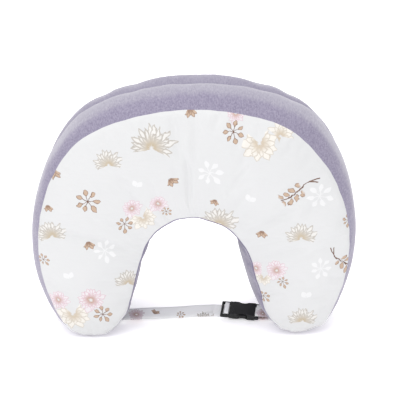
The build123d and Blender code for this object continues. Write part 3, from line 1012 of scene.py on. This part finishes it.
FRONT_MATERIAL = printed_cotton("printed_cotton", FRONT_PRINT, ARC_X)
VELVET_MATERIAL = velvet("velvet")
# velvet darkened with painted shade, for the back strip and the inner gusset
VELVET_SHADED = velvet("velvet_painted_shade", 0.25)
CASING_MATERIAL = plain_cloth("insert_casing", srgb(240, 240, 238))
FIBRE_MATERIAL = plain_cloth("polyester_fibre", srgb(245, 245, 243), 90.0)
TAPE_MATERIAL = plain_cloth("zip_tape", dyed(152, 147, 164), 500.0)
COIL_MATERIAL = coil_nylon("zip_coil", dyed(166, 161, 178))
METAL_MATERIAL = painted_metal("zip_metal", dyed(150, 145, 162))
BUCKLE_MATERIAL = moulded_plastic("buckle_plastic", BUCKLE_BLACK, BUCKLE_GREY, 0.40)
# the strap's cloth is lightened with painted light, against the shade it lies in
STRAP_MATERIAL = printed_cotton("strap_webbing", STRAP_PRINT, share=STRAP_PAINTED_LIGHT_SHARE, flat_y=LEFT_ANCHOR.y)

ALL_KINDS = (FRONT_PANEL, BACK_PANEL, FRONT_STRIP, BACK_STRIP, INNER_GUSSET)
COVER_PIECES = [
    ("cover_front_panel", (FRONT_PANEL,), FRONT_MATERIAL, "printed_cotton"),
    ("cover_back_panel", (BACK_PANEL,), VELVET_MATERIAL, "velvet"),
    ("outer_gusset_front_strip", (FRONT_STRIP,), VELVET_MATERIAL, "velvet"),
    ("outer_gusset_back_strip", (BACK_STRIP,), VELVET_SHADED, "velvet"),
    ("inner_gusset", (INNER_GUSSET,), VELVET_SHADED, "velvet"),
]
INSERT_PIECES = [
    ("insert_front_panel", (FRONT_PANEL,)),
    ("insert_back_panel", (BACK_PANEL,)),
    ("insert_outer_gusset", (FRONT_STRIP, BACK_STRIP)),
    ("insert_inner_gusset", (INNER_GUSSET,)),
]
PUCKERED = ("cover_front_panel", "cover_back_panel")
INSERT_DEPTH = 0.0032       # how far inside the cover's surface the insert and the fill lie
FILL_DEPTH = 0.0050


def settle(piece, node, material):
    """Give a finished piece its material, its CAD node and the pillow's body."""
    piece.name = "look_" + node
    piece.data.materials.clear()
    piece.data.materials.append(material)
    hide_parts(node)
    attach(piece, "pillow")


for node, kinds, material, slot in COVER_PIECES:
    made = cut_piece(pillow, node + "_piece", kinds)
    pucker(made, PUCKER_DEPTH if node in PUCKERED else PUCKER_DEPTH / 2)
    if node == "cover_front_panel":
        mark_arch_seam(made)
    press_on_floor(made.data, FLOOR_GAP)
    settle(made, node, material)
for node, kinds in INSERT_PIECES:
    made = cut_piece(pillow, node + "_piece", kinds, INSERT_DEPTH, 0)
    settle(made, node, CASING_MATERIAL)
stuffing = cut_piece(pillow, "fibre_fill_piece", ALL_KINDS, FILL_DEPTH, 0)
settle(stuffing, "fibre_fill", FIBRE_MATERIAL)
bpy.data.objects.remove(pillow)

buckle = buckle_frame()
strap_short = build_strap_short(buckle)
settle(strap_short, "strap_short", STRAP_MATERIAL)
strap_long = build_strap_long(buckle)
strap_long.name = "look_strap_long"
strap_long.data.materials.append(STRAP_MATERIAL)
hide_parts("strap_long")
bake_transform(strap_long)

MATERIAL_NODES = [
    (TAPE_MATERIAL, ("zip_tape_lower", "zip_tape_upper")),
    (COIL_MATERIAL, ("zip_coil_lower", "zip_coil_upper", "zip_stop_closed_end", "zip_stop_open_end")),
    (METAL_MATERIAL, ("zip_slider", "zip_pull")),
    (BUCKLE_MATERIAL, ("buckle_adjuster", "buckle_socket", "buckle_prong_front", "buckle_prong_rear")),
]
for material, nodes in MATERIAL_NODES:
    for node in nodes:
        for material_slot in frame["nodes"][node].material_slots:
            material_slot.material = material

# ---------------------------------------------------------------- floor, light and camera
CAMERA_TARGET = Vector((0.0085, -0.0033, 0.2055))
CAMERA_DISTANCE = 2.5
CAMERA_ELEVATION = 22.0
CAMERA_AZIMUTH = -1.5
PICTURE_WIDTH = 0.652       # metres across the picture at the target
SENSOR = 36.0
FLOOR_SIZE = 8.0
FLOOR_GLOW = 0.30           # the paper is lit from below, which keeps the shadows faint
FLOOR_TONE = (0.96, 0.955, 0.965, 1.0)
FLOOR_LIGHT = (0.975, 0.97, 0.98, 1.0)
WHITE = (1.0, 1.0, 1.0, 1.0)
LIGHT_TARGET = Vector((0, 0, 0.2))
# Area lights as (name, place, side, power in watts).
LIGHTS = [
    ("key_light", (-1.2, -2.2, 2.4), 2.0, 34),
    ("fill_light", (1.8, -1.8, 1.4), 2.0, 4),
    ("top_light", (0, 0.3, 2.6), 2.5, 30),
]


def build_floor():
    """Flat square of white paper."""
    mesh = bpy.data.meshes.new("floor")
    half = FLOOR_SIZE / 2
    corners = [(-half, -half, 0), (half, -half, 0), (half, half, 0), (-half, half, 0)]
    mesh.from_pydata(corners, [], [(0, 1, 2, 3)])
    floor = bpy.data.objects.new("floor", mesh)
    bpy.context.scene.collection.objects.link(floor)
    material, graph, shader, place = new_material("floor_paper", 0.95)
    graph.feed(shader.inputs["Base Color"], graph.mix(graph.noise(place, 3.0), FLOOR_TONE, FLOOR_LIGHT))
    shader.inputs["Emission Color"].default_value = FLOOR_LIGHT
    shader.inputs["Emission Strength"].default_value = FLOOR_GLOW
    mesh.materials.append(material)


def build_camera():
    """Camera that looks down at the front from a little to the left."""
    data = bpy.data.cameras.new("camera")
    camera = bpy.data.objects.new("camera", data)
    bpy.context.scene.collection.objects.link(camera)
    rise = math.radians(CAMERA_ELEVATION)
    side = math.radians(CAMERA_AZIMUTH)
    back = Vector((math.sin(side) * math.cos(rise), -math.cos(side) * math.cos(rise), math.sin(rise)))
    camera.location = CAMERA_TARGET + back * CAMERA_DISTANCE
    camera.rotation_mode = "QUATERNION"
    camera.rotation_quaternion = (-back).to_track_quat("-Z", "Y")
    data.sensor_width = SENSOR
    data.lens = SENSOR * CAMERA_DISTANCE / PICTURE_WIDTH
    data.clip_end = 100.0
    bpy.context.scene.camera = camera


def area_light(name, place, size, power):
    """Square white light that faces the pillow."""
    data = bpy.data.lights.new(name, "AREA")
    data.shape = "SQUARE"
    data.size = size
    data.energy = power
    light = bpy.data.objects.new(name, data)
    bpy.context.scene.collection.objects.link(light)
    light.location = place
    light.rotation_euler = (LIGHT_TARGET - Vector(place)).to_track_quat("-Z", "Y").to_euler()


def build_lights():
    """Even white surroundings and three soft lights."""
    world = bpy.data.worlds.new("studio")
    bpy.context.scene.world = world
    world.use_nodes = True
    background = world.node_tree.nodes["Background"]
    background.inputs["Color"].default_value = WHITE
    background.inputs["Strength"].default_value = 1.0
    for light in LIGHTS:
        area_light(*light)


build_floor()
build_camera()
build_lights()
bpy.context.scene.view_settings.view_transform = "Standard"
